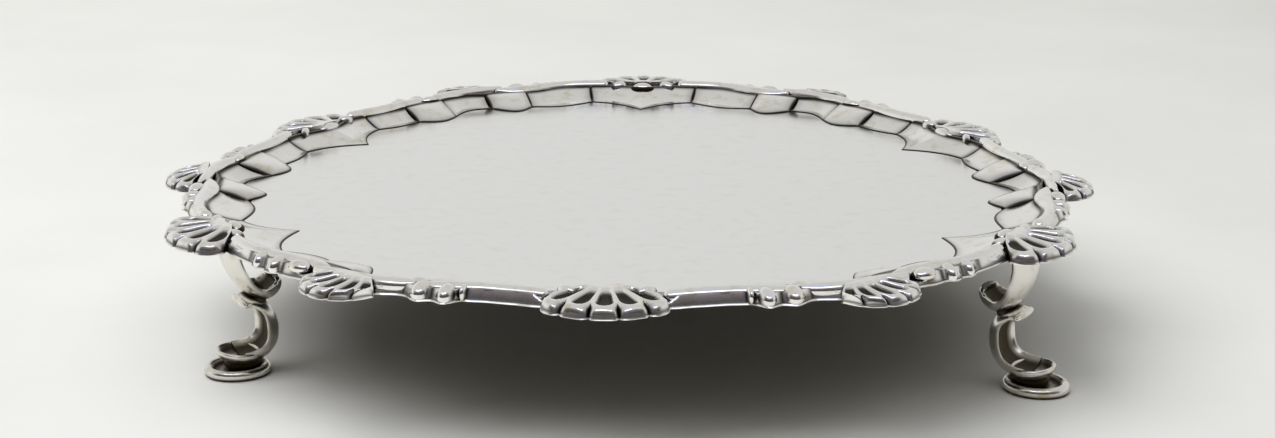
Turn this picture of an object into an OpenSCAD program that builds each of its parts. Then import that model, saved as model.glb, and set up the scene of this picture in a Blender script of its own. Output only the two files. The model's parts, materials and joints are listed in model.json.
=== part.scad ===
// Silver salver on three feet, with a shaped, scrolled and shell-cast border.
// Angles are measured round the tray, anticlockwise from above, from the shell that faces -Y.
// The border repeats six times, alternately turned over, between a plain shell at 0 degrees
// and a shell at 60 degrees that stands over a foot.

/* [Whole salver] */
// Height from the table to the top of the border
total_h = 34.4; // [30:0.1:45]
// Radius to the tip of a shell between two feet
plain_tip_r = 103; // [98:0.5:110]
// Radius to the tip of a shell over a foot
foot_tip_r = 110; // [105:0.5:118]
// Radius to the tip of a small shell
small_tip_r = 108; // [104:0.5:112]

/* [Field plate] */
// Depth of the field below the top of the border
field_depth = 4.2; // [3.5:0.1:6]
// Thickness of the silver sheet
sheet_t = 1.2; // [1:0.1:2]
// Width of the ledge under the border on which it is soldered
ledge_w = 2.5; // [1.5:0.1:4]

/* [Border] */
// Width of the half-round moulding on top of the border
bead_w = 3.2; // [2.4:0.1:4]
// Height of the moulding's lower lip above the table
lip_z = 31; // [30:0.1:31.5]
// How far the scroll ends stand out of the border
scroll_out = 1.4; // [0:0.1:2.5]
// Height of the flat seats under the large shells
seat_z = 31.9; // [31.6:0.1:32.5]
// Half the angle of each seat
seat_half = 8.3; // [8:0.1:9]

/* [Shells] */
// Half the width of a large shell
shell_half_w = 13.2; // [10:0.1:15]
// Length of a large shell from its root to its tip
shell_len = 11.1; // [9:0.1:13]
// Half the width of a small shell
small_half_w = 8.6; // [6:0.1:10]
// Length of a small shell from its root to its tip
small_len = 9.4; // [7:0.1:9.4]
// Angle of a small shell from the nearest plain shell
small_at = 31.5; // [30:0.1:33]
// Number of flutes in a shell
flutes = 5; // [3:1:9]
// Depth of the flutes
flute_depth = 1; // [0.4:0.1:1.4]

/* [Feet] */
// Radius to the middle of the right front foot's pad
right_pad_r = 103.8; // [96:0.1:104]
// Radius to the middle of the rear foot's pad
rear_pad_r = 100.5; // [96:0.1:104]
// Radius to the middle of the left front foot's pad
left_pad_r = 95.8; // [95:0.1:104]
// Length of the pad, inwards to outwards
pad_len = 14.6; // [12:0.1:20]
// Width of the pad
pad_w = 13.4; // [10:0.1:18]
// Thickness of the pad's rim
pad_t = 2.3; // [1:0.1:2.5]
// Thickness of the leg's strap
strap_t = 1.8; // [1.4:0.1:2.4]
// Width of the leg where it meets the border
leg_top_w = 13; // [10:0.5:15]
// Width of the leg at its waist
leg_waist_w = 9; // [7:0.5:12]

/* [Hidden] */
field_z = total_h - field_depth;
ledge_z = field_z - sheet_t / 2;
// The tray's axis is set back so that the whole outline is centred on the origin.
axis_y = (plain_tip_r - foot_tip_r) / 2;
stations = 36;
repeat_angle = 60;
wall_joint = 1.3;
lens_len = 3;
lobe_notch = 0.07;
// The feet were set by hand: each leg's top is at its own radius too.
feet = [[right_pad_r, 102], [rear_pad_r, 100.5], [left_pad_r, 98.9]];
// Middle lines of the two straps of a leg, outwards and up from the middle of the pad.
upper_line = [[-1.6, 31.4], [-1.5, 28], [-2.2, 24.4], [-3.7, 21], [-5.8, 18.7], [-8.1, 18.1],
    [-10, 19.1], [-11, 20.9]];
lower_line = [[-2.6, 16.3], [-4.6, 16.6], [-6.7, 15.4], [-8.1, 12.8], [-8.4, 9.8], [-7.7, 7],
    [-5.8, 4.9], [-3, 4], [0, 3.9], [2.3, 4.5], [3.6, 5.6], [3.9, 6.6]];
line_steps = 3;
shell_silver = [0.80, 0.80, 0.78];
sheet_silver = [0.88, 0.88, 0.86];
border_silver = [0.84, 0.84, 0.81];
foot_silver = [0.74, 0.73, 0.69];

// The foot of the border's wall, as panels between creases. Each row gives the angle and the
// radius at the panel's far crease, and how far the middle of the panel swells inwards.
wall_start_r = 77;
wall_panels = [
    [9.5, 86, -1.5],
    [18, 85.5, 1.2],
    [25.5, 85, 3],
    [33.5, 89, -2.5],
    [40.5, 87.5, 4.8],
    [51.5, 90, 2.6],
    [60, 80.5, -1.5]
];
// The inner edge of the moulding, as a smooth line through these angles and radii.
bead_line = [[0, 88.6], [8, 91.8], [16, 91.9], [23, 92.8], [31, 96.4], [38, 95.6], [48, 97.9], [60, 95.6]];
// Angles at which scroll ends stand out.
scroll_angles = [18.9, 22, 42.7, 44.9];
scroll_spread = 1.1;
// The moulding narrows behind a small shell.
narrow_bead = 1.9;
narrow_half = 5.9;
seat_w = 6.4;

// Index of the row whose stretch holds the angle, for rows that start with an angle.
function row_at(rows, angle, i = 0) =
    (i >= len(rows) - 1 || angle <= rows[i][0]) ? i : row_at(rows, angle, i + 1);

// Radius of the wall's foot at an angle from 0 to 60.
function wall_r(angle) =
    let (
        i = row_at(wall_panels, angle),
        a0 = i == 0 ? 0 : wall_panels[i - 1][0],
        r0 = i == 0 ? wall_start_r : wall_panels[i - 1][1],
        t = (angle - a0) / (wall_panels[i][0] - a0)
    )
    r0 + (wall_panels[i][1] - r0) * t - wall_panels[i][2] * sin(180 * t);

// Radius of the moulding's inner edge at an angle from 0 to 60.
function bead_r(angle) =
    let (
        i = max(1, row_at(bead_line, angle)),
        t = (angle - bead_line[i - 1][0]) / (bead_line[i][0] - bead_line[i - 1][0]),
        ease = (1 - cos(180 * t)) / 2
    )
    bead_line[i - 1][1] + (bead_line[i][1] - bead_line[i - 1][1]) * ease;

function on_seat(angle) = angle < seat_half + 0.1 || angle > repeat_angle - seat_half - 0.1;

// How far the scroll ends push the moulding out at an angle.
function scroll_push(angle) =
    scroll_out * max([for (s = scroll_angles) exp(-pow((angle - s) / scroll_spread, 2))]);

// Width of the moulding at an angle.
function bead_width(angle) =
    on_seat(angle) ? seat_w
    : abs(angle - small_at) < narrow_half ? narrow_bead
    : bead_w + scroll_push(angle);

// Section of the border at an angle, as radius and height, from the inside of the ledge round.
function border_section(angle) =
    let (
        foot = wall_r(angle),
        inner = bead_r(angle),
        run = inner - foot,
        w = bead_width(angle),
        top = on_seat(angle) ? seat_z : total_h,
        joint = on_seat(angle) ? top - 0.3 : top - wall_joint,
        rise = joint - field_z
    )
    [
        [foot, ledge_z],
        [foot, field_z],
        [foot + run * 0.45, field_z + rise * 0.18],
        [foot + run * 0.8, field_z + rise * 0.5],
        [inner, joint],
        [inner + w * 0.1, on_seat(angle) ? top : top - 0.4],
        [inner + w * 0.45, top],
        [inner + w * 0.9, on_seat(angle) ? top : top - 0.6],
        [inner + w, on_seat(angle) ? top - 0.2 : top - 1.5],
        [inner + w, lip_z],
        [inner + w * 0.15, lip_z],
        [foot + run * 0.6 + 1.2, ledge_z + 0.4],
        [foot + ledge_w, ledge_z]
    ];

// A point at a radius, an angle and a height in the tray's own frame.
function at(r, angle, z) = [r * sin(angle), -r * cos(angle), z];

// Closed mesh through rings of points that all have the same count, with flat end faces.
module skin(rings) {
    n = len(rings[0]);
    points = [for (ring = rings) for (p = ring) p];
    faces = concat(
        [[for (i = [0 : n - 1]) i]],
        [
            for (k = [0 : len(rings) - 2]) for (i = [0 : n - 1])
                let (j = (i + 1) % n, a = k * n, b = a + n)
                [a + i, b + i, b + j, a + j]
        ],
        [[for (i = [0 : n - 1]) len(rings) * n - 1 - i]]
    );
    polyhedron(points, faces, convexity = 8);
}

// Everything hangs on the tray's axis, which is set back from the origin.
module on_axis(angle = 0) {
    translate([0, axis_y, 0]) rotate([0, 0, angle]) children();
}

// One length of border, from a plain shell to the next shell over a foot.
module border_unit() {
    skin([
        for (k = [0 : stations])
            let (angle = k * repeat_angle / stations)
            [for (p = border_section(angle)) at(p[0], angle, p[1])]
    ]);
}

module border_length(k) {
    turned = k % 2 == 1;
    color(border_silver)
        on_axis(repeat_angle * (turned ? k + 1 : k)) mirror([turned ? 1 : 0, 0, 0]) border_unit();
}

// The wall's foot all round, widened by a margin, for the plate.
function plate_outline(margin) = [
    for (k = [0 : 6 * stations - 1])
        let (
            angle = k * repeat_angle / stations,
            sector = floor(k / stations),
            within = angle - sector * repeat_angle,
            folded = sector % 2 == 0 ? within : repeat_angle - within,
            p = at(wall_r(folded) + margin, angle, 0)
        )
        [p[0], p[1]]
];

// The flat sheet, with a ledge all round that the border sits on.
module field_plate() {
    color(sheet_silver) on_axis() {
        translate([0, 0, ledge_z]) linear_extrude(field_z - ledge_z) polygon(plate_outline(0));
        translate([0, 0, field_z - sheet_t])
            linear_extrude(ledge_z - field_z + sheet_t) polygon(plate_outline(ledge_w));
    }
}

// Where a direction lies within its flute, from 0 at one rib to 1 at the next.
function in_flute(turn) =
    let (u = (turn + 90) * flutes / 180) u - floor(u);

// Height of a shell above its underside at a direction and a share of the way to its lip.
function shell_z(turn, share, thick) =
    abs(turn) > 90 ? thick * (share > 0.95 ? 0.6 : 0.9)
    : share > 0.95 ? thick - 1
    : share > 0.85 ? thick - 0.7 * pow(abs(2 * in_flute(turn) - 1), 6)
    : share > 0.2 ? thick - flute_depth * pow(sin(180 * in_flute(turn)), 2)
    : thick;

// A fluted shell whose root is at a radius: a fan of lobes outwards and a smooth back inwards.
module shell(root_r, half_w, length, back, base_z) {
    step = 180 / flutes / 4;
    turns = concat([for (i = [0 : 4 * flutes]) -90 + i * step], [for (i = [1 : 7]) 90 + i * 22.5]);
    n = len(turns);
    shares = [0.3, 0.6, 0.8, 0.9, 1];
    thick = total_h - base_z;
    function edge(turn) =
        abs(turn) > 90 ? 1 : 1 - lobe_notch * pow(abs(2 * in_flute(turn) - 1), 4);
    function lip(turn, share, z) = [
        half_w * sin(turn) * share * edge(turn),
        -root_r - (abs(turn) > 90 ? back : length) * cos(turn) * share * edge(turn),
        z
    ];
    points = concat(
        [[0, -root_r, base_z + thick]],
        [for (s = shares) for (turn = turns) lip(turn, s, base_z + shell_z(turn, s, thick))],
        [for (turn = turns) lip(turn, 1, base_z)]
    );
    rings = len(shares);
    faces = concat(
        [for (i = [0 : n - 1]) [0, 1 + (i + 1) % n, 1 + i]],
        [
            for (k = [0 : rings - 1]) for (i = [0 : n - 1])
                let (j = (i + 1) % n, a = 1 + k * n, b = a + n)
                each [[a + i, a + j, b + j], [a + i, b + j, b + i]]
        ],
        [[for (i = [0 : n - 1]) 1 + rings * n + i]]
    );
    polyhedron(points, faces, convexity = 6);
}

module plain_shell(k) {
    color(shell_silver) on_axis(120 * k)
        shell(plain_tip_r - shell_len, shell_half_w, shell_len, lens_len, seat_z);
}

module foot_shell(k) {
    color(shell_silver) on_axis(60 + 120 * k)
        shell(foot_tip_r - shell_len, shell_half_w, shell_len, lens_len, seat_z);
}

// The small shells stand against the outside of the moulding, either side of each plain shell.
module small_shell(k) {
    side = k % 2 == 0 ? 1 : -1;
    color(shell_silver) on_axis(120 * floor(k / 2) + side * small_at)
        shell(small_tip_r - small_len, small_half_w, small_len, 0.01, lip_z);
}

// A smooth line through points.
function through(p) = concat(
    [
        for (k = [0 : len(p) - 2]) for (i = [0 : line_steps - 1])
            let (
                t = i / line_steps,
                a = p[max(k - 1, 0)], b = p[k], c = p[k + 1], d = p[min(k + 2, len(p) - 1)]
            )
            (2 * b + (c - a) * t + (2 * a - 5 * b + 4 * c - d) * t * t
                + (3 * b - a - 3 * c + d) * t * t * t) / 2
    ],
    [p[len(p) - 1]]
);

// A line that leans, so that its top stands further out than its bottom by a distance.
function leaning(p, lean) = [for (q = p) [q[0] + lean * q[1] / lip_z, q[1]]];

// Unit direction of a path at one of its points.
function heading(path, i) =
    let (d = path[min(i + 1, len(path) - 1)] - path[max(i - 1, 0)]) d / norm(d);

// Outline of a strap of constant thickness along a path.
function strap(path, t) = concat(
    [for (i = [0 : len(path) - 1]) path[i] + t / 2 * [-heading(path, i)[1], heading(path, i)[0]]],
    [
        for (k = [0 : len(path) - 1])
            let (i = len(path) - 1 - k)
            path[i] - t / 2 * [-heading(path, i)[1], heading(path, i)[0]]
    ]
);

// The leg seen from the side, outwards along x, measured from the middle of the pad.
module leg_side(lean) {
    intersection() {
        polygon(strap(leaning(through(upper_line), lean), strap_t));
        translate([-20, 0]) square([40, lip_z]);
    }
    polygon(strap(leaning(through(lower_line), lean), strap_t));
    polygon(leaning([[-8.6, 17.6], [-7.6, 14.6], [-4.6, 16.4], [-4.2, 19.2]], lean));
    polygon([[-6.4, 0.6], [-6.4, 5], [-3.6, 4.2], [-0.4, 3.6], [-0.4, 1]]);
}

// The leg seen from outside, which gives its width at each height.
module leg_front() {
    polygon([
        [-leg_waist_w / 2, 0], [leg_waist_w / 2, 0],
        [leg_waist_w / 2, 19], [leg_top_w / 2, lip_z],
        [-leg_top_w / 2, lip_z], [-leg_waist_w / 2, 19]
    ]);
}

// An oval pad on the table with a smaller raised land.
module pad() {
    function oval(scale_by) =
        [for (i = [0 : 35]) scale_by * [pad_w / 2 * cos(10 * i), pad_len / 2 * sin(10 * i)]];
    linear_extrude(pad_t * 0.7) polygon(oval(1));
    linear_extrude(pad_t) polygon(oval(0.92));
}

module foot(k) {
    reach = pad_len + leg_top_w;
    color(foot_silver) on_axis(60 + 120 * k) translate([0, -feet[k][0], 0]) {
        intersection() {
            rotate([0, 0, -90]) rotate([90, 0, 0])
                translate([0, 0, -leg_top_w]) linear_extrude(2 * leg_top_w)
                    leg_side(feet[k][1] - feet[k][0]);
            translate([0, reach, 0]) rotate([90, 0, 0]) linear_extrude(2 * reach) leg_front();
        }
        pad();
    }
}

field_plate();
border_length(0);  // border_length_1
border_length(1);  // border_length_2
border_length(2);  // border_length_3
border_length(3);  // border_length_4
border_length(4);  // border_length_5
border_length(5);  // border_length_6
plain_shell(0);  // plain_shell_1
plain_shell(1);  // plain_shell_2
plain_shell(2);  // plain_shell_3
foot_shell(0);  // foot_shell_1
foot_shell(1);  // foot_shell_2
foot_shell(2);  // foot_shell_3
small_shell(0);  // small_shell_1
small_shell(1);  // small_shell_2
small_shell(2);  // small_shell_3
small_shell(3);  // small_shell_4
small_shell(4);  // small_shell_5
small_shell(5);  // small_shell_6
foot(0);  // foot_1
foot(1);  // foot_2
foot(2);  // foot_3
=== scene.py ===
# %% [markdown]
# # A silver salver on three scroll feet
# A salver is a flat tray for cards or glasses. This one is raised from sheet silver, and its edge
# is a cast border of scrolls and shells that is soldered round the sheet. Three cast feet stand
# under it. This lesson builds the looks round a fixed CAD frame, in metres. Every length below is
# first written in millimetres, as a silversmith would say it, and MM turns it into metres.

# %% Load the fixed frame
import json
import math

import bpy
import numpy as np
from mathutils import Matrix, Vector


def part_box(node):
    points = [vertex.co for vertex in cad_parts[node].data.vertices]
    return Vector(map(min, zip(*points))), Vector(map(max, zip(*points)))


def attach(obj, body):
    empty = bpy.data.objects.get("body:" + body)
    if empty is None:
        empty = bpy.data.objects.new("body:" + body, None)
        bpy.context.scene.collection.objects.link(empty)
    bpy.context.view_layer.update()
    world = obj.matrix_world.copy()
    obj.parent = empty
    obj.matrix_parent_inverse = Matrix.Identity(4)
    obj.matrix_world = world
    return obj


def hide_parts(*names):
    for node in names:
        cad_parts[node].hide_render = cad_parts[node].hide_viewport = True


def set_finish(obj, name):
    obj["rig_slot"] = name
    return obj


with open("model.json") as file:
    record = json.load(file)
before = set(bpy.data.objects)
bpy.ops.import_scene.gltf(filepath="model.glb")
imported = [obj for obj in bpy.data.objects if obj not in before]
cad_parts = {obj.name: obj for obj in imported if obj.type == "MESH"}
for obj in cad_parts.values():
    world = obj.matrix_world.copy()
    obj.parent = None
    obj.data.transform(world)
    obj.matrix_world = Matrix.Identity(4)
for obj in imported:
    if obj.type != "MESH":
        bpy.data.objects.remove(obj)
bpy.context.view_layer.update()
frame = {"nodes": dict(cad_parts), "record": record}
MM = 0.001

# %% [markdown]
# ## The tray's axis
# Everything is set round the tray's axis. It isn't the origin, because the shells over the feet
# reach out further than the others and the frame is centred on the whole outline. The shell over
# the rear foot reaches the outline's far side, which gives the axis. TOP is the border's highest
# point, FIELD is the flat middle of the tray, and LIP is the underside of the border's edge.

# %% Find the axis and the main heights
FOOT_TIP_R = 110
FIELD_DEPTH = 4.2
axis = Vector((0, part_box("foot_shell_2")[1].y - FOOT_TIP_R * MM, 0))
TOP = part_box("border_length_1")[1].z / MM
FIELD = TOP - FIELD_DEPTH
LIP = 31.0
print("axis", axis, "top", TOP, "field", FIELD)

# %% [markdown]
# ## Helpers for points round the tray
# Angles run anticlockwise from the shell that faces -Y. A border length fills 60 degrees, and the
# next one is its mirror image, so only one is modelled.

# %% Points, smooth steps and smooth lines
def at(r, angle, z, *more):
    a = math.radians(angle)
    return (r * math.sin(a), -r * math.cos(a), z, *more)


def smooth(low_edge, high_edge, x):
    t = np.clip((x - low_edge) / (high_edge - low_edge), 0, 1)
    return t * t * (3 - 2 * t)


def eased(rows, x):
    """Value at x on a line that eases from each (x, value) row to the next."""
    xs = [r[0] for r in rows]
    i = int(np.clip(np.searchsorted(xs, x) - 1, 0, len(rows) - 2))
    t = np.clip((x - xs[i]) / (xs[i + 1] - xs[i]), 0, 1)
    return rows[i][1] + (rows[i + 1][1] - rows[i][1]) * (1 - math.cos(math.pi * t)) / 2


# %% [markdown]
# ## Making a mesh from rows of points
# A cast surface that swells and turns everywhere is easiest as a grid: rows of points across it,
# joined by four-sided faces. The helper closes the grid into a ring if it is told to, and can cap
# its two ends.

# %% A mesh from a grid of points
MERGE_DISTANCE = 0.002


def clear_selection():
    if bpy.context.object and bpy.context.object.mode != "OBJECT":
        bpy.ops.object.mode_set(mode="OBJECT")
    bpy.ops.object.select_all(action="DESELECT")


def pick(*objects):
    clear_selection()
    for o in objects:
        o.select_set(True)
    bpy.context.view_layer.objects.active = objects[0]
    return objects[0]


def grid_piece(name, rows, ring=False, caps=False):
    """A mesh through rows of points in millimetres, each row with the same count. A point's
    fourth number, if it has one, is how much tarnish and painted shade it carries, from 0 to 1."""
    count = len(rows[0])
    points = [Vector(p[:3]) * MM for row in rows for p in row]
    faces = []
    for k in range(len(rows) - 1):
        for i in range(count if ring else count - 1):
            j = (i + 1) % count
            faces.append((k * count + i, k * count + j, (k + 1) * count + j, (k + 1) * count + i))
    if caps:
        faces.append(tuple(reversed(range(count))))
        faces.append(tuple((len(rows) - 1) * count + i for i in range(count)))
    mesh = bpy.data.meshes.new(name)
    mesh.from_pydata(points, [], faces)
    # This attribute holds tarnish together with painted shade, and both darken the colour.
    tarnish_and_shade = mesh.attributes.new("tarnish_and_shade", "FLOAT", "POINT")
    tarnish_and_shade.data.foreach_set("value", [p[3] if len(p) > 3 else 0.0 for row in rows for p in row])
    piece = bpy.data.objects.new(name, mesh)
    bpy.context.scene.collection.objects.link(piece)
    outwards(piece)
    return piece


def outwards(piece):
    """Merges doubled points and turns every face outwards."""
    pick(piece)
    bpy.ops.object.mode_set(mode="EDIT")
    bpy.ops.mesh.select_all(action="SELECT")
    bpy.ops.mesh.remove_doubles(threshold=MERGE_DISTANCE * MM)
    bpy.ops.mesh.normals_make_consistent(inside=False)
    bpy.ops.object.mode_set(mode="OBJECT")


# %% [markdown]
# ## Joining, rounding off and copying
# Castings that are one piece of metal become one mesh. What repeats is modelled once, standing at
# 0 degrees, and each copy gets a mesh of its own, which is turned about the tray's axis.

# %% Joining and copying helpers
def join(name, *pieces):
    whole = pick(*pieces)
    bpy.ops.object.join()
    whole.name = name
    whole.data.name = name
    return whole


def round_off(piece, angle=50):
    pick(piece)
    bpy.ops.object.shade_smooth_by_angle(angle=math.radians(angle))


def copy_round(unit, name, angle, mirrored=False, settle=None):
    """A copy of a piece, turned to its own place. settle moves it before the turn."""
    piece = bpy.data.objects.new(name, unit.data.copy())
    piece.data.name = name
    bpy.context.scene.collection.objects.link(piece)
    flip = Matrix.Scale(-1, 4, (1, 0, 0)) if mirrored else Matrix.Identity(4)
    turn = Matrix.Rotation(math.radians(angle), 4, "Z")
    settle = settle or Matrix.Identity(4)
    piece.data.transform(Matrix.Translation((axis.x, axis.y, 0)) @ turn @ flip @ settle)
    if mirrored:
        piece.data.flip_normals()
    return piece


# %% [markdown]
# ## Bosses
# Little domed beads sit all round the border, where scrolls end. Each starts as a sphere, which is
# stretched in edit mode and then turned to lie along the border. The sphere's centre is sunk in the
# border, so only its dome shows. An eye is a bead in a socket of painted shade: a wider and lower
# dome, painted black as the shade round the bead, stands a little behind the bright one.

# %% A boss at a place on the border, and an eye, which is a boss in a socket of painted shade
DOME_SEGMENTS, DOME_RINGS = 28, 16
PAINTED_SHADE_FROM, PAINTED_SHADE_AT = 0.66, 0.9
SHADE_SOCKET = (1.13, 1.06, 0.62)


def boss(r, angle, z, radii, turn=0, tarnish_and_shade=0.0, bottom=LIP + 0.05, sides=0.0):
    """A dome with half sizes (along the border, outwards, upwards), in millimetres. Nothing of it
    reaches below bottom, and sides is how much painted shade darkens its two ends along the border."""
    clear_selection()
    bpy.ops.mesh.primitive_uv_sphere_add(segments=DOME_SEGMENTS, ring_count=DOME_RINGS, radius=MM)
    dome = bpy.context.object
    bpy.ops.object.mode_set(mode="EDIT")
    bpy.ops.transform.resize(value=radii)
    bpy.ops.object.mode_set(mode="OBJECT")
    # Painted shade darkens the dome's two ends along the border, as much as sides says.
    ends = [float(smooth(PAINTED_SHADE_FROM, PAINTED_SHADE_AT, abs(v.co.x) / (radii[0] * MM))) for v in dome.data.vertices]
    stains = [max(tarnish_and_shade, sides * end) for end in ends]
    spin = Matrix.Rotation(math.radians(angle + turn), 4, "Z")
    dome.data.transform(Matrix.Translation(Vector(at(r, angle, z)) * MM) @ spin)
    for v in dome.data.vertices:
        v.co.z = max(v.co.z, bottom * MM)
    dark = dome.data.attributes.new("tarnish_and_shade", "FLOAT", "POINT")
    dark.data.foreach_set("value", stains)
    return dome


def eye(r, angle, z, radii, turn=0, back=0.3):
    """A bead and its socket of painted shade, set back from it towards the tray's axis."""
    shade_socket_radii = tuple(size * factor for size, factor in zip(radii, SHADE_SOCKET))
    # The socket is painted black all over: painted shade round the bead.
    socket = boss(r - back, angle, z, shade_socket_radii, turn, tarnish_and_shade=1.0)
    return [boss(r, angle, z, radii, turn), socket]


# %% [markdown]
# ## The border's wall
# Inside the moulding the border slopes down to the flat field. It is chased into panels with sharp
# creases between them: some are hollow, and some are full like petals and lie over their
# neighbours. The foot of the wall is scalloped. Each row of PANELS gives the angle and radius at a
# panel's far crease, how far the middle of its foot reaches inwards, and how full the panel is.
# INNER and OUTER are the top of the wall and the border's outer edge, by angle and radius.

# %% The lines of the border
WALL_START = 77
PANELS = [
    (9.5, 86, -1.5, -0.2), (18, 85.5, 1.2, -0.3), (25.5, 85, 3, 0.3), (33.5, 89, -2.5, -0.3),
    (40.5, 87.5, 4.8, 0.38), (51.5, 90, 2.6, -0.3), (60, 80.5, -1.5, -0.2),
]
INNER = [
    (0, 88.5), (8, 91.55), (16, 91.65), (23, 92.8), (30.5, 96), (34.5, 94.3), (41, 94.2), (48, 97.3),
    (54, 97.4), (60, 95.2),
]
OUTER = [
    (0, 96.5), (8, 95.9), (11, 95.4), (14, 95.3), (17, 95.9), (18.9, 99.2), (20.5, 98.2),
    (22, 99.5), (24.6, 97.5), (28, 99.2), (32, 100), (36, 99.4), (38, 100.6), (40.5, 101.2),
    (42, 101), (43.4, 102.2), (44.5, 101.5), (45.7, 102.2), (47.6, 101.2), (52, 101.2), (60, 101),
]


def panel_at(angle):
    """The panel's row, the radius at its near crease, and the share of the way across it."""
    i = next((k for k, row in enumerate(PANELS) if angle <= row[0] + 1e-9), len(PANELS) - 1)
    near = 0 if i == 0 else PANELS[i - 1][0]
    near_r = WALL_START if i == 0 else PANELS[i - 1][1]
    return PANELS[i], near_r, (angle - near) / (PANELS[i][0] - near)


def wall_foot(angle):
    (_, far_r, swell, _), near_r, share = panel_at(angle)
    return near_r + (far_r - near_r) * share - swell * math.sin(math.pi * share)


def crease_gap(angle):
    """Distance to the nearest crease, in degrees."""
    return min(abs(angle - row[0]) for row in PANELS[:-1])


# %% [markdown]
# ## One length of border
# The grid has a station at close steps round the tray, closest at the creases, and the same
# section at each station: up the wall, over the flange on which the scrolls lie, round the thin
# flared lip, and back underneath. First come the heights of the wall. A full panel rises quickly
# from its foot and swells in the middle, a hollow one rises late, and a groove follows each crease.

# %% Heights of the wall
WALL_RISE = 3.1
MEAN_R = 90
CREASE_W = 0.3
CREASE_D = 0.65


def crease_line(angle, width=CREASE_W):
    """1 on a crease, falling to 0 over its width, in millimetres."""
    return math.exp(-((math.radians(crease_gap(angle)) * MEAN_R / width) ** 2))


def wall_height(angle, share_up, rise):
    (_, _, _, full), _, across = panel_at(angle)
    if full > 0:
        base = 0.58 * share_up + 0.42 * math.sin(math.pi / 2 * share_up) ** 0.8
    else:
        base = 0.5 * share_up + 0.5 * share_up ** 1.8
    edge = 1 - abs(2 * across - 1) ** (5 if full > 0 else 2)
    lift = full * edge * math.sin(math.pi * share_up ** 0.75)
    line = crease_line(angle)
    groove = CREASE_D * line * math.sin(math.pi * (0.12 + 0.8 * share_up))
    return FIELD + rise * base + lift - groove


# %% [markdown]
# The flange is a nearly flat top with a steep outer face that turns out into a thin lip. It drops
# where a shell lies over it. Painted shade, with some tarnish, darkens the wall's foot and top, the
# creases, and the gaps between the scrolls and the knuckles, and softer painted shade lies near the
# creases and the foot.

# %% The border's section at one angle
WALL_ROWS = 22
CROWN = 33.5
SINK = 1.3
SHADED_GAPS = (16.6, 20.5, 24.4, 41.5, 44.6, 47.8)
GAP_SHADE_W = 0.42


def flange_sink(angle):
    """How far the flange drops under the plain shell, the small shell and the foot shell."""
    low = max(1 - smooth(7, 8.6, angle), smooth(24.5, 26, angle) * (1 - smooth(38.5, 40, angle)),
              smooth(53, 54.5, angle))
    return SINK * float(low)


def section(angle):
    """Points of (radius, height, tarnish and painted shade) from the wall's foot round to its underside.
    """
    foot, inner, outer = wall_foot(angle), eased(INNER, angle), eased(OUTER, angle)
    top = inner + 0.5
    crown = CROWN - flange_sink(angle)
    points = [(foot, FIELD - 0.45, 1), (foot, FIELD + 0.12, 1)]
    for k in range(1, WALL_ROWS + 1):
        u = (k / WALL_ROWS) ** 1.15
        r = foot + (top - foot) * u
        # Painted shade: dark lines at the wall's foot, under the bead and in the creases, and softer
        # painted shade near the creases and the foot.
        shaded_edges = math.exp(-(((r - foot) / 0.5) ** 2)), math.exp(-(((r - inner + 0.1) / 0.7) ** 2))
        soft = 0.28 * max(crease_line(angle, 1.5), math.exp(-(((r - foot) / 1.3) ** 2)))
        stain_and_shade = max(*shaded_edges, soft, crease_line(angle, 0.52) * (0.7 + 0.3 * math.sin(math.pi * u)))
        z = max(wall_height(angle, u, WALL_RISE), FIELD + 0.15 + 0.02 * k)
        points.append((r, z, min(1, stain_and_shade * 1.3)))
    wide = outer - top
    # Painted shade in the gaps between the scrolls and the knuckles, at the flange's inner edge and in a
    # thin line above the lip.
    gap_shade = 0.97 * max(math.exp(-(((angle - g) / GAP_SHADE_W) ** 2)) for g in SHADED_GAPS)
    points += [
        (top + 0.25 * wide, min(33.2, crown), max(0.5, gap_shade)),
        (top + 0.5 * wide, min(33.25, crown), max(0.2, gap_shade)),
        (outer - 1.15, crown, gap_shade), (outer - 0.88, crown - 0.05, gap_shade),
        (outer - 0.66, min(33.05, crown - 0.1), gap_shade), (outer - 0.46, min(32.6, crown - 0.15), gap_shade),
        (outer - 0.29, min(32.15, crown - 0.2), max(0.1, gap_shade)),
        (outer - 0.14, 31.74, max(0.5, gap_shade)), (outer - 0.07, 31.47, 0.9), (outer + 0.08, 31.36, 0),
        (outer + 0.2, 31.2, 0), (outer + 0.1, LIP + 0.02, 0),
        (outer - 0.3, LIP, 0), (inner + 0.5, LIP, 0),
        (foot + (inner - foot) * 0.6 + 1.2, 30.0, 0), (foot + 2.5, FIELD - 0.65, 0),
    ]
    return [at(r, angle, z, stain_and_shade) for r, z, stain_and_shade in points]


# %% Join the sections round one length
WIDE_PANEL = 8
WIDE_STEPS, NARROW_STEPS = 34, 28
stops = [0] + [row[0] for row in PANELS]
stations = []
for near, far in zip(stops, stops[1:]):
    steps = WIDE_STEPS if far - near > WIDE_PANEL else NARROW_STEPS
    stations += [near + (far - near) * (1 - math.cos(math.pi * k / steps)) / 2 for k in range(steps)]
stations.append(60.0)
wall = grid_piece("border_wall", [section(a) for a in stations], ring=True, caps=True)
print("border wall:", len(stations), "stations,", len(wall.data.polygons), "faces")


# %% [markdown]
# ## The scrolls on the border
# The moulding is a chain of half-round scrolls. Each is drawn as a line of places with a half
# width, and the helper sweeps a rounded section along it. The ends close in a dome, as they would
# on a modelled wax.

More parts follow.
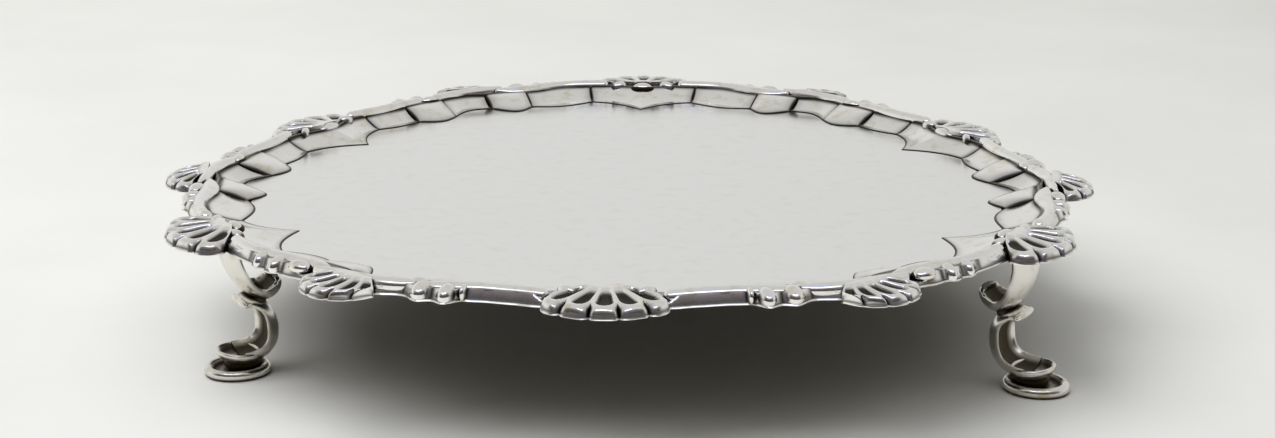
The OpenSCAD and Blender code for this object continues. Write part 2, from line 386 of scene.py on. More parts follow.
# %% A smooth line through a few places
def curve_through(rows, steps):
    """Points on a smooth line through rows of numbers, by Catmull-Rom pieces."""
    rows = [np.array(r, float) for r in rows]
    rows = [2 * rows[0] - rows[1]] + rows + [2 * rows[-1] - rows[-2]]
    out = []
    for k in range(1, len(rows) - 2):
        a, b, c, d = rows[k - 1 : k + 3]
        for s in range(steps):
            t = s / steps
            out.append(0.5 * (2 * b + (c - a) * t + (2 * a - 5 * b + 4 * c - d) * t * t
                              + (3 * b - a - 3 * c + d) * t ** 3))
    return out + [rows[-2]]


# %% A scroll swept along its line
DOME_ROWS = [0.98, 0.92, 0.8, 0.6, 0.3]
THINNEST = 0.05


def scroll(name, rows, steps=8, around=20):
    """rows: (angle, radius, height of the middle, half width, half height)."""
    line = curve_through(rows, steps)
    middle = [Vector(at(p[1], p[0], p[2])) for p in line]
    rings = []
    for k, p in enumerate(line):
        ahead = middle[min(k + 1, len(line) - 1)] - middle[max(k - 1, 0)]
        side = Vector((ahead.y, -ahead.x, 0)).normalized()
        rings.append((middle[k], side, ahead.normalized(), max(p[3], THINNEST), max(p[4], THINNEST)))

    def dome(ring, sign, share):
        centre, side, ahead, wide, tall = ring
        left = math.sqrt(1 - share * share)
        return centre + ahead * wide * share * sign, side, ahead, wide * left, tall * left

    first = [dome(rings[0], -1, share) for share in DOME_ROWS]
    last = [dome(rings[-1], 1, share) for share in reversed(DOME_ROWS)]
    grid = []
    for centre, side, _, wide, tall in first + rings + last:
        ring = []
        for a in (2 * math.pi * i / around for i in range(around)):
            edge = centre + side * wide * math.cos(a)
            ring.append((edge.x, edge.y, min(edge.z + tall * math.sin(a), TOP)))
        grid.append(ring)
    return grid_piece(name, grid, ring=True, caps=True)


# %% [markdown]
# A plain scroll runs from the plain shell to the first knuckles. A small one lies behind the small
# shell, and the foot scroll curls into a broad head by the second eye. MID is the height at which
# their middles lie, so that a scroll 1.7 high just reaches the top.

# %% Sweep the three scrolls
MID = TOP - 1.7
plain_scroll = scroll("plain_scroll", [
    (7.7, 93.7, MID, 1.5, 1.6), (10, 93.2, MID, 1.6, 1.7), (13, 93.0, MID, 1.6, 1.7),
    (16, 93.3, MID, 1.6, 1.7), (18.5, 94.15, MID, 1.7, 1.65), (20.8, 94.9, MID, 1.7, 1.5),
    (22.6, 95.4, MID, 1.3, 1.3),
])
small_scroll = scroll("small_scroll", [
    (23.8, 95.0, MID - 0.1, 1.1, 1.3), (25.2, 95.8, MID, 1.75, 1.55), (27.5, 97.0, MID, 1.8, 1.65),
    (30, 97.7, MID, 1.65, 1.7), (33, 97.9, MID, 1.5, 1.7), (35.4, 98.2, MID, 1.2, 1.6),
    (36.9, 98.6, MID, 0.7, 1.4),
])
foot_scroll = scroll("foot_scroll", [
    (53.6, 98.7, MID, 1.6, 1.7), (50.5, 99.0, MID, 1.6, 1.7), (47.5, 98.6, MID, 1.6, 1.7),
    (45.2, 97.9, MID, 1.8, 1.7), (43.2, 97.0, MID, 2.05, 1.7), (41.4, 96.3, MID, 2.3, 1.6),
    (39.6, 96.0, MID, 2.3, 1.55), (37.8, 96.1, MID, 1.9, 1.5), (36.2, 96.5, MID, 0.9, 1.3),
])
print("scrolls swept")

# %% [markdown]
# ## Knuckles and eyes
# Two knuckles cross the border at each break between scrolls, and a larger eye sits in the hollow
# of a scroll's head. A tiny bead ends the plain scroll. The knuckles' ends are painted dark, as
# painted shade where one meets the next.

# %% Place the bosses and join one length
beads = [
    boss(96.2, 18.9, 32.2, (1.95, 3.2, 2.15), sides=0.95),
    boss(96.6, 22.1, 32.2, (2.2, 3.2, 2.19), sides=0.95),
    boss(95.0, 17.1, 32.5, (0.8, 1.9, 1.8), sides=0.9),
    *eye(94.2, 23.4, 32.95, (2.5, 1.5, 1.44), 10),
    *eye(98.9, 39.6, 32.9, (2.7, 1.9, 1.49), -8, back=0.7),
    boss(99.4, 43.1, 32.0, (1.6, 2.9, 2.2), -12, sides=0.95),
    boss(99.6, 46.0, 32.0, (1.6, 2.8, 2.2), -12, sides=0.95),
]
border_unit = join("border_unit", wall, plain_scroll, small_scroll, foot_scroll, *beads)
round_off(border_unit, 40)
print("border unit:", len(border_unit.data.polygons), "faces")

# %% [markdown]
# ## Shells
# A cast shell is a fan: flutes run from a hump at its root and stop short of a rim of rounded
# lobes, and a deep nick parts each lobe from the next. The grid follows the flutes, so that ribs,
# nicks and lobes fall on lines of the mesh. It is only the upper face, so its open edge is then
# extruded, flattened at the height of the lip and closed underneath. LOBE_FALL says how a lobe
# falls from its crest to the rim, as shares of the way out and of the way down.

# %% Build a shell from the line of its rim and the line of its root
LOBES = 5
ACROSS = 20
FLUTE_ROWS = 26
CREST = 0.89
NICK_BACK = 0.065
NICK_D = 1.5
LOBE_ROUND = 0.4
LOBE_FALL = ((0, 0.25, 0.45, 0.6, 0.72, 0.8, 0.86, 0.91, 0.95, 1),
             (0, 0.03, 0.1, 0.19, 0.32, 0.47, 0.62, 0.77, 0.91, 1))


def shell_piece(name, rim, root, bend, crest_drop=0.95, flute=1.3):
    """rim, root and bend give (x, outwards) at a share across from -1 to 1. Each flute is a
    curve from the root to the rim, pulled towards the bend."""
    along = [k / FLUTE_ROWS * CREST for k in range(FLUTE_ROWS + 1)]
    along += [CREST + (1 - CREST) * q for q in LOBE_FALL[0][1:]]
    rows = []
    for k in range(LOBES * ACROSS + 1):
        w = 2 * k / (LOBES * ACROSS) - 1
        lobe = (k / ACROSS) % 1 * 2 - 1
        nick = abs(lobe) ** 6
        end, start, turn = (np.array(f(w)) for f in (rim, root, bend))
        row = []
        for t in along:
            s = t * (1 - NICK_BACK * nick)
            p = (1 - s) ** 2 * start + 2 * s * (1 - s) * turn + s * s * end
            hump = TOP - crest_drop * t ** 1.3
            pit_end = 0.88 - 0.16 * lobe * lobe
            pit = float(smooth(0.16, 0.42, t) * (1 - smooth(pit_end - 0.13, pit_end, t)))
            pit *= float(1 - smooth(0.42, 0.88, abs(lobe)))
            z = hump - flute * pit
            z -= LOBE_ROUND * lobe ** 2 * float(smooth(0.78, 0.9, t))
            z -= NICK_D * nick * float(smooth(0.82, 0.92, t))
            if t > CREST:
                q = (t - CREST) / (1 - CREST)
                z -= (z - LIP - 0.3) * float(np.interp(q, *LOBE_FALL))
            # Painted shade, with tarnish, in the flute pits, in the nicks between the lobes and in a
            # thin line above the lip.
            stain_and_shade = 0.96 * float(smooth(0.2, 0.65, pit))
            low = float(smooth(0.98, 0.99, t) * (1 - smooth(0.992, 0.997, t)))
            notch_shade = min(1, 1.7 * nick) * float(smooth(0.84, 0.9, t) * (1 - smooth(0.992, 1, t)))
            row.append((p[0], -p[1], z, max(stain_and_shade, notch_shade, 0.8 * low)))
        row.append((p[0], -p[1] - 0.1, LIP + 0.16, 0))
        row.append((p[0], -p[1], LIP, 0))
        rows.append(row)
    top = grid_piece(name, rows)
    pick(top)
    bpy.ops.object.mode_set(mode="EDIT")
    bpy.ops.mesh.select_all(action="DESELECT")
    bpy.ops.mesh.select_non_manifold()
    bpy.ops.mesh.extrude_region_move()
    bpy.ops.transform.resize(value=(1, 1, 0), center_override=(0, 0, LIP * MM))
    bpy.ops.mesh.edge_face_add()
    bpy.ops.object.mode_set(mode="OBJECT")
    outwards(top)
    return top


# %% [markdown]
# ## The large shells
# REACH is how far the rim lies from the middle of the root, by the angle from the middle flute.
# A plain shell has a boss at its root, a shell over a foot has an eye there, and both have one boss
# at each flank.

# %% The lines of a large shell
REACH = [(0, 13.49), (27, 13.8), (54, 15.0), (66, 14.2)]
SPREAD = 66


def fan_lines(root_r):
    """The lines of rim, root and bend of a shell whose root is at this radius."""
    def rim(w):
        a = SPREAD * abs(w)
        d = eased(REACH, a)
        return (math.copysign(d * math.sin(math.radians(a)), w), root_r + d * math.cos(math.radians(a)))

    def root(w):
        return (2.3 * w, root_r + 0.5 * (1 - w * w))

    def bend(w):
        a = math.radians(82 * w)
        return (2.3 * w + 5.2 * math.sin(a), root_r + 0.5 + 6.0 * math.cos(a))

    return rim, root, bend


# %% Build the plain shell and the foot shell
plain_fan = shell_piece("plain_fan", *fan_lines(89.4))
plain_shell = join(
    "plain_shell_unit", plain_fan, boss(89.8, 0, 32.9, (3.6, 1.7, 1.4)),
    # The flank bosses' ends are painted dark as shade, as much as sides says.
    boss(91.2, 4.9, 33.0, (2.3, 1.1, 1.35), 25, sides=0.9),
    boss(91.2, -4.9, 33.0, (2.3, 1.1, 1.35), -25, sides=0.9),
)
foot_fan = shell_piece("foot_fan", *fan_lines(96.4))
foot_shell = join(
    "foot_shell_unit", foot_fan, *eye(95.2, 0, 32.8, (2.8, 1.7, 1.55)),
    boss(97.2, 3.7, 32.9, (2.5, 1.4, 1.4), 20, sides=0.9),
    boss(97.2, -3.7, 32.9, (2.5, 1.4, 1.4), -20, sides=0.9),
)
for shell in (plain_shell, foot_shell):
    round_off(shell, 50)
    print(shell.name, len(shell.data.polygons), "faces")

# %% [markdown]
# ## The small shells
# Each small shell leans: its flutes start near one end of its root and sweep over to the far end
# of the rim. It stands against the outside of the border, so it is modelled where it belongs and
# not at 0 degrees.

# %% Build the small shell
SMALL_MID = 32.3
SMALL_ROOT = 97.9


def small_rim(w):
    a = math.radians(78 * w)
    return (9.3 * math.sin(a), SMALL_ROOT + 9.9 * math.cos(a) ** 0.9 * (1 - 0.02 * w))


def small_root(w):
    return (-2.6 + 4.6 * w, SMALL_ROOT + 0.3 - 0.5 * w)


def small_bend(w):
    return (-3.2 + 6.8 * w, SMALL_ROOT + 4.8 - 1.6 * abs(w) - 0.6 * w)


small_fan = shell_piece("small_fan", small_rim, small_root, small_bend, crest_drop=1.35, flute=1.15)
small_fan.data.transform(Matrix.Rotation(math.radians(SMALL_MID), 4, "Z"))
round_off(small_fan, 50)
print("small shell:", len(small_fan.data.polygons), "faces")

# %% [markdown]
# ## Feet
# A foot is a strap of cast silver bent into two C scrolls, one above the other, on an oval pad. The
# upper C turns its belly outwards and curls up inside. The lower C is a channel that opens
# outwards and ends in a spoon. Each strap's section is swept along its own middle line. The
# section is a rounded bar with raised edges, and its hollow side is painted dark: painted shade
# and tarnish.

# %% A strap swept along its middle line
STRAP_SIDES = 32


def strap(name, path, widths, thick, hollow):
    """path: (outwards, up). widths, thick and hollow give values at a share along the path."""
    rings = []
    n = len(path)
    for k, (x, z) in enumerate(path):
        ahead = Vector(path[min(k + 1, n - 1)]) - Vector(path[max(k - 1, 0)])
        normal = Vector((-ahead.y, ahead.x)).normalized()
        s = k / (n - 1)
        half, t, h = eased(widths, s) / 2, eased(thick, s), eased(hollow, s)
        ring = []
        for i in range(STRAP_SIDES):
            a = 2 * math.pi * i / STRAP_SIDES
            v = math.copysign(abs(math.cos(a)) ** 0.6, math.cos(a))
            up = math.copysign(abs(math.sin(a)) ** 0.7, math.sin(a)) * t / 2
            offset = up + h * (abs(v) ** 2.6 - 0.35)
            # Painted shade and tarnish darken the strap's hollow side.
            inside = float(1 - smooth(0.6, 0.85, abs(v))) if h * math.sin(a) > 0 else 0.0
            ring.append((half * v, -(x + normal.x * offset), z + normal.y * offset, 0.96 * inside))
        rings.append(ring)
    return grid_piece(name, rings, ring=True, caps=True)


# %% Bend the two straps
UPPER = [(-1.6, 31.4), (-1.5, 28), (-2.2, 24.4), (-3.7, 21), (-5.8, 18.7), (-8.1, 18.0),
         (-9.9, 18.8), (-10.9, 20.2), (-10.7, 21.6)]
LOWER = [(-2.6, 16.3), (-4.6, 16.6), (-6.7, 15.4), (-8.1, 12.8), (-8.4, 9.8), (-7.7, 7),
         (-5.8, 5.1), (-3.2, 4.3), (-0.8, 4.1)]
upper_path = [tuple(p) for p in curve_through(UPPER, 5)]
lower_path = [tuple(p) for p in curve_through(LOWER, 5)]
upper = strap(
    "upper_scroll", upper_path, [(0, 13.4), (0.3, 12), (0.55, 9.8), (0.8, 9), (0.93, 8.2), (1, 6.6)],
    [(0, 2.3), (0.7, 2.1), (1, 1.5)], [(0, -0.9), (0.4, -1.4), (0.7, -2.1), (0.85, -1.7), (1, -0.6)],
)
lower = strap(
    "lower_scroll", lower_path, [(0, 9.0), (0.2, 9.2), (0.6, 8.8), (1, 10.0)],
    [(0, 1.4), (0.25, 2.0), (1, 1.9)], [(0, 0.5), (0.25, 1.4), (0.5, 2.4), (1, 2.2)],
)


# %% [markdown]
# Where the two straps meet, the lower one's end is rolled. A stubby round bar across the strap
# makes it: a sphere with its poles turned to the bar's ends, and its points pushed out towards
# them.

# %% Roll the lower strap's upper end
def roll(x, z, half, r):
    """A bar of half length half and radius r, at x outwards and z up."""
    clear_selection()
    bpy.ops.mesh.primitive_uv_sphere_add(segments=24, ring_count=16, radius=MM)
    bar = bpy.context.object
    bar.data.transform(Matrix.Rotation(math.pi / 2, 4, "Y"))
    for v in bar.data.vertices:
        u = v.co.x / MM
        v.co = Vector((math.copysign(abs(u) ** 0.6, u) * half, v.co.y / MM * r, v.co.z / MM * r)) * MM
    bar.data.transform(Matrix.Translation(Vector((0, -x, z)) * MM))
    return bar


junction = roll(-2.7, 16.3, 4.7, 0.95)
print("straps:", len(upper.data.polygons) + len(lower.data.polygons), "faces")

# %% [markdown]
# ## The pad and the spoon
# The pad is a thick oval with a fat rolled rim and a dished top, and the lower C ends in a smaller
# oval spoon of the same kind. Both are rings of points that follow one section from the bottom,
# round the rim and down into the dish. Each row gives how far in from the edge the ring lies, its
# height and its tarnish and painted shade, which darkens the dishes and the pad's lowest edge.

# %% Model the pad and the spoon
PAD_L, PAD_W = 14.6, 13.4


def oval(name, half_along, half_out, centre, rows, tilt=0.0, sides=48):
    """rows: (distance in from the edge, height, tarnish and painted shade). tilt lifts the outer end."""
    rings = []
    for inset, z, stain_and_shade in rows:
        ring = []
        for i in range(sides):
            a = 2 * math.pi * i / sides
            out = (half_out - inset) * math.sin(a)
            ring.append(((half_along - inset) * math.cos(a), -(centre + out), z + tilt * out, stain_and_shade))
        rings.append(ring)
    return grid_piece(name, rings, ring=True, caps=True)


pad = oval("pad", PAD_W / 2, PAD_L / 2, 0, [
    (0.7, 0, 0.4), (0.35, 0.06, 0.3), (0.1, 0.35, 0.1), (0, 0.8, 0), (0, 1.3, 0), (0.12, 1.75, 0),
    (0.45, 2.12, 0), (0.95, 2.3, 0), (1.45, 2.2, 0), (1.8, 1.85, 0.3), (2.1, 1.45, 0.95),
    (2.7, 1.15, 0.8), (3.6, 1.0, 0.6), (4.8, 0.95, 0.7),
])
spoon = oval("spoon", 5.4, 4.9, -0.7, [
    (3.0, 2.5, 1), (2.0, 2.9, 0.9), (1.0, 3.5, 0.6), (0.4, 4.1, 0.2), (0.1, 4.7, 0), (0, 5.1, 0),
    (0.12, 5.4, 0), (0.4, 5.55, 0), (0.75, 5.45, 0), (1.05, 5.0, 0.5), (1.5, 4.5, 0.9),
    (2.4, 4.2, 0.5), (3.6, 4.1, 0.2),
], tilt=0.07)
print("pad:", len(pad.data.polygons), "faces, spoon:", len(spoon.data.polygons), "faces")

# %% [markdown]
# ## One whole foot
# Between the pad and the spoon, and behind the place where the straps meet, the casting is solid.
# Two bosses fill these places, painted black as the shade that falls there. A foot is one casting,
# so its pieces are joined into one mesh.

# %% Join one foot
# Both bosses are painted black: painted shade in the gaps of the foot.
neck = boss(-1.2, 0, 2.3, (3.7, 4.0, 1.9), tarnish_and_shade=1.0, bottom=0.8)
link = boss(-6.4, 0, 16.8, (3.9, 1.9, 1.6), tarnish_and_shade=0.95, bottom=0)
foot_unit = join("foot_unit", upper, lower, pad, spoon, neck, link, junction)
round_off(foot_unit, 50)
print("foot:", len(foot_unit.data.polygons), "faces")

# %% [markdown]
# ## Setting the pieces round the tray
# Each unit is copied to its places, and every copy has a mesh of its own. A copy stands for the
# CAD piece of the same name, which stays in the physics but isn't shown. The three feet of such a
# tray are bent by hand, so each pad stands at its own distance from the axis: the frame's resting
# points give the pads' places, and LEG_TOPS the legs' upper ends.

# %% Copy every unit to its places
made = []


def set_piece(unit, name, angle, slot, mirrored=False, settle=None):
    piece = copy_round(unit, "silver_" + name, angle, mirrored, settle)
    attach(piece, "root")
    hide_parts(name)
    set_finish(piece, slot)
    made.append(piece)
    return piece


rests = {m["name"]: Vector(m["pos_m"]) for m in frame["record"]["mounts"]}
LEG_TOPS = [102, 100.5, 98.9]


def settled(k):
    """Moves foot k out to its own resting point, and leans its leg back to its own top."""
    out = (rests[f"foot_rest_{k + 1}"] - axis).length
    lean = Matrix.Identity(4)
    lean[1][2] = (out - LEG_TOPS[k] * MM) / (LIP * MM)
    return Matrix.Translation((0, -out, 0)) @ lean


for k in range(6):
    odd = k % 2 == 1
    set_piece(border_unit, f"border_length_{k + 1}", 60 * (k + 1 if odd else k), "border_silver", odd)
    set_piece(small_fan, f"small_shell_{k + 1}", 120 * (k // 2), "shell_silver", odd)
for k in range(3):
    set_piece(plain_shell, f"plain_shell_{k + 1}", 120 * k, "shell_silver")
    set_piece(foot_shell, f"foot_shell_{k + 1}", 60 + 120 * k, "shell_silver")
    set_piece(foot_unit, f"foot_{k + 1}", 60 + 120 * k, "foot_silver", settle=settled(k))
for unit in (border_unit, small_fan, plain_shell, foot_shell, foot_unit):
    bpy.data.objects.remove(unit)
print(len(made), "pieces set")


# %% [markdown]
# ## Old silver
# Polished silver is almost a mirror. What makes it look like silver is what the polishing cloth
# leaves: fine scratches in every direction, a slow ripple from the hammer, and dark tarnish in
# the hollows where the cloth can't reach. The same darkening also paints the shade that falls in
# every hollow. All three are one node group with named inputs, so each finish uses it with its own
# values. Ambient occlusion finds the hollows.

# %% Helpers for groups and nodes
def new_group(name, inputs, outputs):
    group = bpy.data.node_groups.new(name, "ShaderNodeTree")
    for label, kind, value in inputs:
        socket = group.interface.new_socket(label, in_out="INPUT", socket_type=kind)
        socket.default_value = value
    for label, kind in outputs:
        group.interface.new_socket(label, in_out="OUTPUT", socket_type=kind)
    return group, group.nodes.new("NodeGroupInput"), group.nodes.new("NodeGroupOutput")


def node(tree, kind, **settings):
    made_node = tree.nodes.new(kind)
    for key, value in settings.items():
        if key in made_node.inputs.keys():
            made_node.inputs[key].default_value = value
        else:
            setattr(made_node, key, value)
    return made_node


# %% [markdown]
# ### Tarnish and painted shade
# Tarnish and painted shade lie where ambient occlusion finds a hollow, or where the mesh's own
# tarnish and shade value says so. Elsewhere the silver is clean, with a thin yellowish film in patches.

# %% Where the tarnish and painted shade lie, and the colour they give
HOLLOW_REACH = 1.3
HOLLOW_SAMPLES = 8
FILM_FROM, FILM_TO = 0.52, 0.8


def tarnish_and_shade_mask(g, inp):
    # Painted shade and tarnish in the hollows that ambient occlusion finds.
    hollow = node(g, "ShaderNodeAmbientOcclusion", samples=HOLLOW_SAMPLES, Distance=HOLLOW_REACH * MM)
    mask = node(g, "ShaderNodeMapRange", clamp=True)
    mask.interpolation_type = "SMOOTHSTEP"
    mask.inputs["To Min"].default_value, mask.inputs["To Max"].default_value = 1, 0
    g.links.new(hollow.outputs["AO"], mask.inputs["Value"])
    g.links.new(inp.outputs["Hollow start"], mask.inputs["From Min"])
    g.links.new(inp.outputs["Hollow end"], mask.inputs["From Max"])
    either = node(g, "ShaderNodeMath", operation="MAXIMUM")
    g.links.new(mask.outputs["Result"], either.inputs[0])
    g.links.new(inp.outputs["Stain and shade"], either.inputs[1])
    return either.outputs[0]


def tarnished_and_shaded_colour(g, inp, place, mask):
    stains = node(g, "ShaderNodeTexNoise", Scale=260.0, Detail=4.0, Roughness=0.6)
    g.links.new(place, stains.inputs["Vector"])
    film_at = node(g, "ShaderNodeMapRange", clamp=True)
    film_at.inputs["From Min"].default_value = FILM_FROM
    film_at.inputs["From Max"].default_value = FILM_TO
    g.links.new(stains.outputs["Fac"], film_at.inputs["Value"])
    filmed = node(g, "ShaderNodeMix", data_type="RGBA")
    g.links.new(film_at.outputs["Result"], filmed.inputs["Factor"])
    g.links.new(inp.outputs["Silver"], filmed.inputs["A"])
    g.links.new(inp.outputs["Film"], filmed.inputs["B"])
    # The tarnish colour also paints the shade in the hollows.
    dark = node(g, "ShaderNodeMix", data_type="RGBA")
    g.links.new(mask, dark.inputs["Factor"])
    g.links.new(filmed.outputs["Result"], dark.inputs["A"])
    g.links.new(inp.outputs["Tarnish"], dark.inputs["B"])
    return dark.outputs["Result"]


# %% [markdown]
# ### Scratches
# A scratch is noise drawn out into a line. Two sets cross each other, as a cloth leaves them.

# %% Fine scratches
def scratch_lines(g, place, stretch, slant, fineness):
    drawn_out = node(g, "ShaderNodeMapping")
    drawn_out.inputs["Scale"].default_value = stretch
    drawn_out.inputs["Rotation"].default_value = (0, 0, slant)
    g.links.new(place, drawn_out.inputs["Vector"])
    lines = node(g, "ShaderNodeTexNoise", Scale=fineness, Detail=3.0)
    g.links.new(drawn_out.outputs["Vector"], lines.inputs["Vector"])
    return lines.outputs["Fac"]


def crossed_scratches(g, place):
    both = node(g, "ShaderNodeMath", operation="MAXIMUM")
    g.links.new(scratch_lines(g, place, (1, 0.12, 1), 0.6, 5200.0), both.inputs[0])
    g.links.new(scratch_lines(g, place, (0.12, 1, 1), -0.35, 4300.0), both.inputs[1])
    return both.outputs[0]


# %% [markdown]
# ### The whole group
# Scratches and the tarnish and painted shade mask both make the silver rougher. The height is a
# slow ripple with the scratches on it, and each finish turns it into a bump.

# %% Build the wear and painted shade group
DULLING = 0.35
SCRATCH_D = 0.012
RIPPLE_SCALE = 75.0


def multiply_add(g, value, factor, added):
    """value * factor + added, where the factor is a number or another node's output."""
    total = node(g, "ShaderNodeMath", operation="MULTIPLY_ADD")
    g.links.new(value, total.inputs[0])
    if isinstance(factor, float):
        total.inputs[1].default_value = factor
    else:
        g.links.new(factor, total.inputs[1])
    g.links.new(added, total.inputs[2])
    return total.outputs[0]


def build_wear_and_shade_group():
    g, inp, out = new_group(
        "silver_wear_and_shade",
        [("Stain and shade", "NodeSocketFloat", 0.0),
         ("Silver", "NodeSocketColor", (0.93, 0.92, 0.89, 1)),
         # Tarnish is the colour of the tarnish and of the painted shade.
         ("Tarnish", "NodeSocketColor", (0.03, 0.022, 0.014, 1)),
         ("Film", "NodeSocketColor", (0.75, 0.68, 0.52, 1)),
         ("Hollow start", "NodeSocketFloat", 0.45), ("Hollow end", "NodeSocketFloat", 0.8),
         ("Polish", "NodeSocketFloat", 0.1), ("Scratch", "NodeSocketFloat", 0.08),
         ("Ripple", "NodeSocketFloat", 0.3)],
        [("Color", "NodeSocketColor"), ("Roughness", "NodeSocketFloat"), ("Height", "NodeSocketFloat")],
    )
    place = node(g, "ShaderNodeTexCoord").outputs["Object"]
    mask = tarnish_and_shade_mask(g, inp)
    scratches = crossed_scratches(g, place)
    slow = node(g, "ShaderNodeTexNoise", Scale=RIPPLE_SCALE, Detail=1.0)
    g.links.new(place, slow.inputs["Vector"])
    rippled = node(g, "ShaderNodeMath", operation="MULTIPLY")
    g.links.new(slow.outputs["Fac"], rippled.inputs[0])
    g.links.new(inp.outputs["Ripple"], rippled.inputs[1])
    polished = multiply_add(g, scratches, inp.outputs["Scratch"], inp.outputs["Polish"])
    g.links.new(tarnished_and_shaded_colour(g, inp, place, mask), out.inputs["Color"])
    g.links.new(multiply_add(g, mask, DULLING, polished), out.inputs["Roughness"])
    g.links.new(multiply_add(g, scratches, SCRATCH_D, rippled.outputs[0]), out.inputs["Height"])
    return g


wear_and_shade = build_wear_and_shade_group()
print("wear group:", len(wear_and_shade.nodes), "nodes")

# %% [markdown]
# ## The four finishes
# The field is the smoothest. The border is polished by use on its crests, the shells hold more
# tarnish and painted shade in their flutes, and the feet, which no one polishes inside, are the
# brownest. The sheet is one CAD piece without tarnish values, so its dark underside, tarnish and
# painted shade that deepens the shadow beneath the tray, is found by its height.

# %% A finish from the wear and painted shade group
UNDER_FROM, UNDER_TO = 0.3, 0.9


def silver(name, bump, under=0, **values):
    """under is how dark the metal is painted below the field, as tarnish and as painted shade."""
    material = bpy.data.materials.new(name)
    material.use_nodes = True
    tree = material.node_tree
    shader = tree.nodes["Principled BSDF"]
    shader.inputs["Metallic"].default_value = 1.0
    use = tree.nodes.new("ShaderNodeGroup")
    use.node_tree = wear_and_shade
    for label, value in values.items():
        use.inputs[label.replace("_", " ")].default_value = value
    # The mesh's own tarnish and painted shade values.
    stain_and_shade = node(tree, "ShaderNodeAttribute", attribute_name="tarnish_and_shade")
    tree.links.new(stain_and_shade.outputs["Fac"], use.inputs["Stain and shade"])
    # Below the field the sheet is darkened: tarnish, and painted shade that deepens the shadow beneath
    # the tray.
    if under:
        place = node(tree, "ShaderNodeTexCoord")
        height = node(tree, "ShaderNodeSeparateXYZ")
        below = node(tree, "ShaderNodeMapRange", clamp=True)
        below.inputs["From Min"].default_value = (FIELD - UNDER_TO) * MM
        below.inputs["From Max"].default_value = (FIELD - UNDER_FROM) * MM
        below.inputs["To Min"].default_value, below.inputs["To Max"].default_value = under, 0
        tree.links.new(place.outputs["Object"], height.inputs["Vector"])
        tree.links.new(height.outputs["Z"], below.inputs["Value"])
        tree.links.new(below.outputs["Result"], use.inputs["Stain and shade"])
    relief = node(tree, "ShaderNodeBump", Strength=bump, Distance=1 * MM)
    tree.links.new(use.outputs["Color"], shader.inputs["Base Color"])
    tree.links.new(use.outputs["Roughness"], shader.inputs["Roughness"])
    tree.links.new(use.outputs["Height"], relief.inputs["Height"])
    tree.links.new(relief.outputs["Normal"], shader.inputs["Normal"])
    return material


# %% Make the finishes and lay them on the pieces
finishes = {
    "sheet_silver": silver("sheet_silver", 0.35, under=0.92, Polish=0.1, Scratch=0.12, Ripple=0.25,
                           Silver=(0.90, 0.895, 0.885, 1), Film=(0.84, 0.83, 0.80, 1)),
    "border_silver": silver("border_silver", 0.4, Polish=0.09, Scratch=0.12, Ripple=0.35),
    "shell_silver": silver("shell_silver", 0.4, Polish=0.1, Scratch=0.12, Ripple=0.3,
                           Hollow_start=0.42, Hollow_end=0.86),
    "foot_silver": silver("foot_silver", 0.5, Polish=0.14, Scratch=0.15, Ripple=0.6,
                          Hollow_start=0.5, Hollow_end=0.97, Silver=(0.82, 0.80, 0.74, 1),
                          Film=(0.55, 0.46, 0.30, 1), Tarnish=(0.05, 0.036, 0.014, 1)),
}
for piece in made:
    piece.data.materials.clear()
    piece.data.materials.append(finishes[piece["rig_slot"]])
plate = frame["nodes"]["field_plate"]
plate.data.materials.clear()
plate.data.materials.append(finishes["sheet_silver"])
print("finishes on", len(made) + 1, "pieces")

# %% [markdown]
# ## The table
# The table is plain pale paper, matt and very slightly uneven in tone.

# %% The pale floor
FLOOR_SIZE = 6
DARKER_PAPER = (0.80, 0.80, 0.785, 1)
LIGHTER_PAPER = (0.86, 0.86, 0.845, 1)
clear_selection()
bpy.ops.mesh.primitive_plane_add(size=FLOOR_SIZE, location=(0, 0, 0))
floor = bpy.context.object
floor.name = "floor"
bpy.ops.object.mode_set(mode="EDIT")
bpy.ops.mesh.subdivide(number_cuts=8)
bpy.ops.object.mode_set(mode="OBJECT")
paper = bpy.data.materials.new("pale_paper")
paper.use_nodes = True
paper_shader = paper.node_tree.nodes["Principled BSDF"]
paper_shader.inputs["Roughness"].default_value = 0.85
paper_shader.inputs["Specular IOR Level"].default_value = 0.2
cloud = node(paper.node_tree, "ShaderNodeTexNoise", Scale=9.0, Detail=5.0, Roughness=0.55)
spot = node(paper.node_tree, "ShaderNodeTexCoord")
paper.node_tree.links.new(spot.outputs["Object"], cloud.inputs["Vector"])
tone = node(paper.node_tree, "ShaderNodeValToRGB")
tone.color_ramp.elements[0].position, tone.color_ramp.elements[1].position = 0.3, 0.7
tone.color_ramp.elements[0].color = DARKER_PAPER
tone.color_ramp.elements[1].color = LIGHTER_PAPER
paper.node_tree.links.new(cloud.outputs["Fac"], tone.inputs["Fac"])
paper.node_tree.links.new(tone.outputs["Color"], paper_shader.inputs["Base Color"])
floor.data.materials.append(paper)
print("floor laid")

# %% [markdown]
# ## The room
# Silver shows its surroundings, so they matter as much as the metal. The room is a bright soft tent
# with a dark side towards the camera, below a long bright window: that is what draws the white line
# and the dark line along every rounded edge. Heights here are heights on a sphere round the tray,
# from 0 at the horizon to 1 overhead.

# %% Helpers for the room's nodes
world = bpy.data.worlds.new("tent")
bpy.context.scene.world = world
world.use_nodes = True
sky = world.node_tree
sky.nodes.clear()


def math_node(kind, a, b=None, clamp=False):
    n = sky.nodes.new("ShaderNodeMath")
    n.operation, n.use_clamp = kind, clamp
    for i, v in enumerate((a, b)):
        if v is None:
            continue
        if isinstance(v, (int, float)):
            n.inputs[i].default_value = v
        else:
            sky.links.new(v, n.inputs[i])
    return n.outputs[0]


